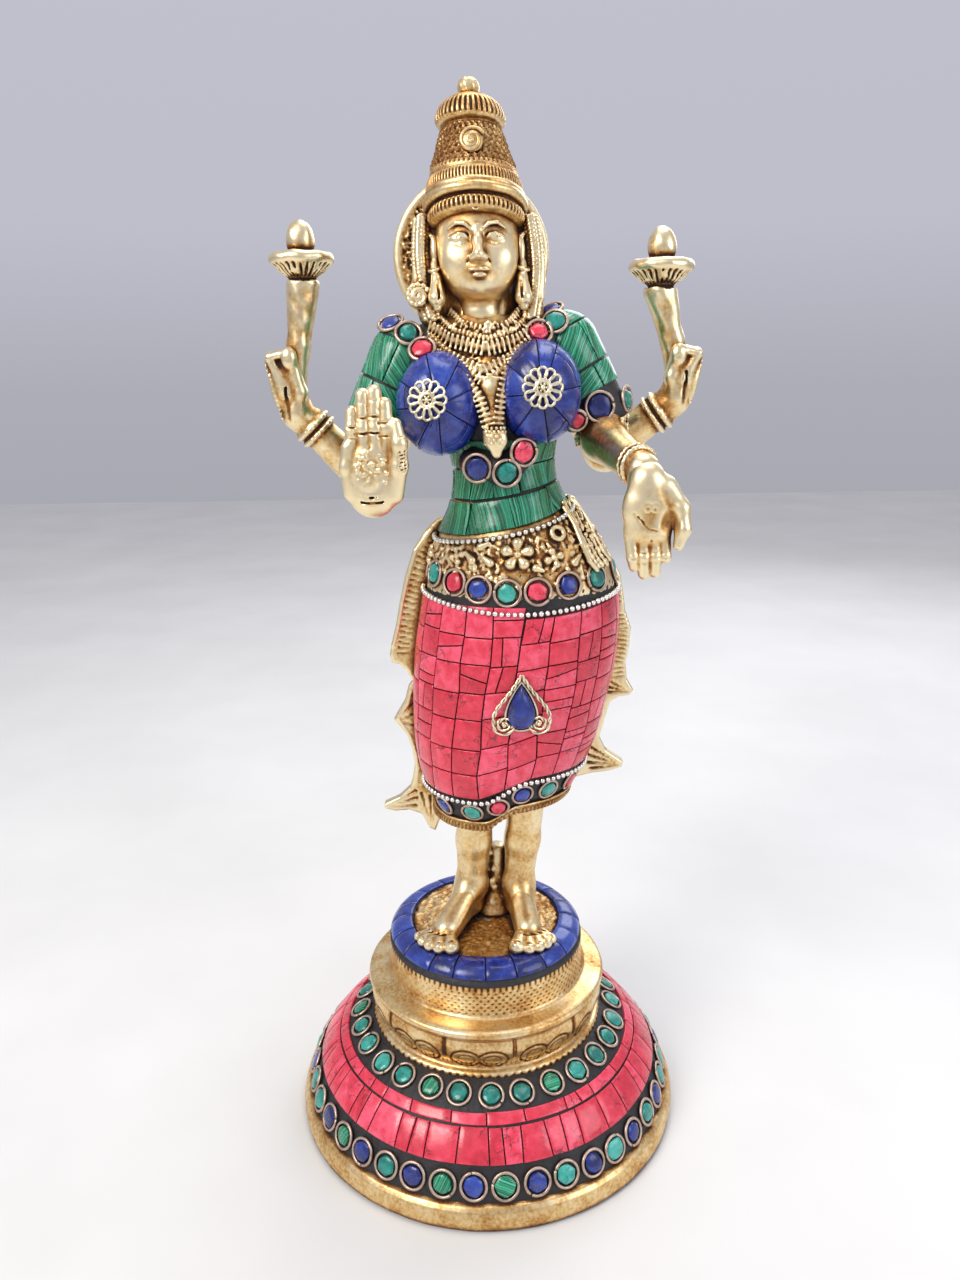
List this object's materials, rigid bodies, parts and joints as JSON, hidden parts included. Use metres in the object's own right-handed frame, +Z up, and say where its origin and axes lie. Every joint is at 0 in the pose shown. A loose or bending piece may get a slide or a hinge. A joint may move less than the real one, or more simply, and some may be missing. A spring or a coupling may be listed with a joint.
{
  "type": "four-armed standing deity statuette",
  "caption": "Four-armed standing goddess statuette in aged brass, on a domed base inlaid with coral, lapis, turquoise and malachite",
  "frame": {"origin": "centre of the base's foot, on the surface that the statuette stands on", "axes": "+Z up; the figure faces -Y; +X is the figure's own left side"},
  "size_m": [0.1334, 0.132, 0.3298],
  "materials": {
    "cast_brass": "aged, rubbed bright on the high places",
    "rough_brass": "rough, unpolished",
    "gilt_wire": "bright wire and stamped sheet",
    "bezel_wire": "dull coppery silver wire",
    "silver_bead": "silvered",
    "steel": "zinc plated",
    "coral": "opaque polished stone",
    "lapis": "opaque polished stone",
    "turquoise": "opaque polished stone",
    "malachite": "opaque polished stone, banded",
    "mastic": "matt black filler"
  },
  "bodies": {
    "root": {"base_casting": "cast_brass", "base_mastic": "mastic", "base_wide_coral_tiles": "coral", "base_narrow_coral_tiles": "coral", "base_lower_bezels": "bezel_wire", "base_lapis_stones": "lapis", "base_lower_turquoise_stones": "turquoise", "base_malachite_stones": "malachite", "base_upper_bezels": "bezel_wire", "base_upper_turquoise_stones": "turquoise", "pedestal_casting": "cast_brass", "pedestal_mastic": "mastic", "pedestal_lapis_tiles": "lapis", "standing_plate": "rough_brass", "fixing_stud": "steel", "fixing_washer": "steel", "fixing_nut": "steel", "right_leg": "cast_brass", "left_leg": "cast_brass", "ankle_web": "rough_brass", "skirt_core": "cast_brass", "skirt_mastic": "mastic", "hem_cuffs": "cast_brass", "skirt_coral_tiles": "coral", "skirt_bezels": "bezel_wire", "skirt_coral_stones": "coral", "skirt_lapis_stones": "lapis", "skirt_turquoise_stones": "turquoise", "girdle": "cast_brass", "bead_strings": "silver_bead", "teardrop_cabochon": "lapis", "teardrop_wire": "gilt_wire", "sash_right": "cast_brass", "sash_left": "cast_brass", "pleats_right": "cast_brass", "pleats_left": "cast_brass", "torso_core": "cast_brass", "midriff_malachite_tiles": "malachite", "bodice_mastic": "mastic", "bust_lapis_tiles": "lapis", "bust_rosettes": "gilt_wire", "right_front_arm": "cast_brass", "left_front_arm": "cast_brass", "sleeve_malachite_tiles": "malachite", "right_rear_arm": "cast_brass", "left_rear_arm": "cast_brass", "right_front_hand": "cast_brass", "left_front_hand": "cast_brass", "right_lotus": "cast_brass", "left_lotus": "cast_brass", "bodice_bezels": "bezel_wire", "bodice_coral_stones": "coral", "bodice_lapis_stones": "lapis", "bodice_green_stones": "malachite", "head": "cast_brass", "crown": "cast_brass", "hair": "cast_brass", "ears_and_earrings": "cast_brass", "halo_disc": "rough_brass", "necklace": "cast_brass"}
  },
  "joints": []
}
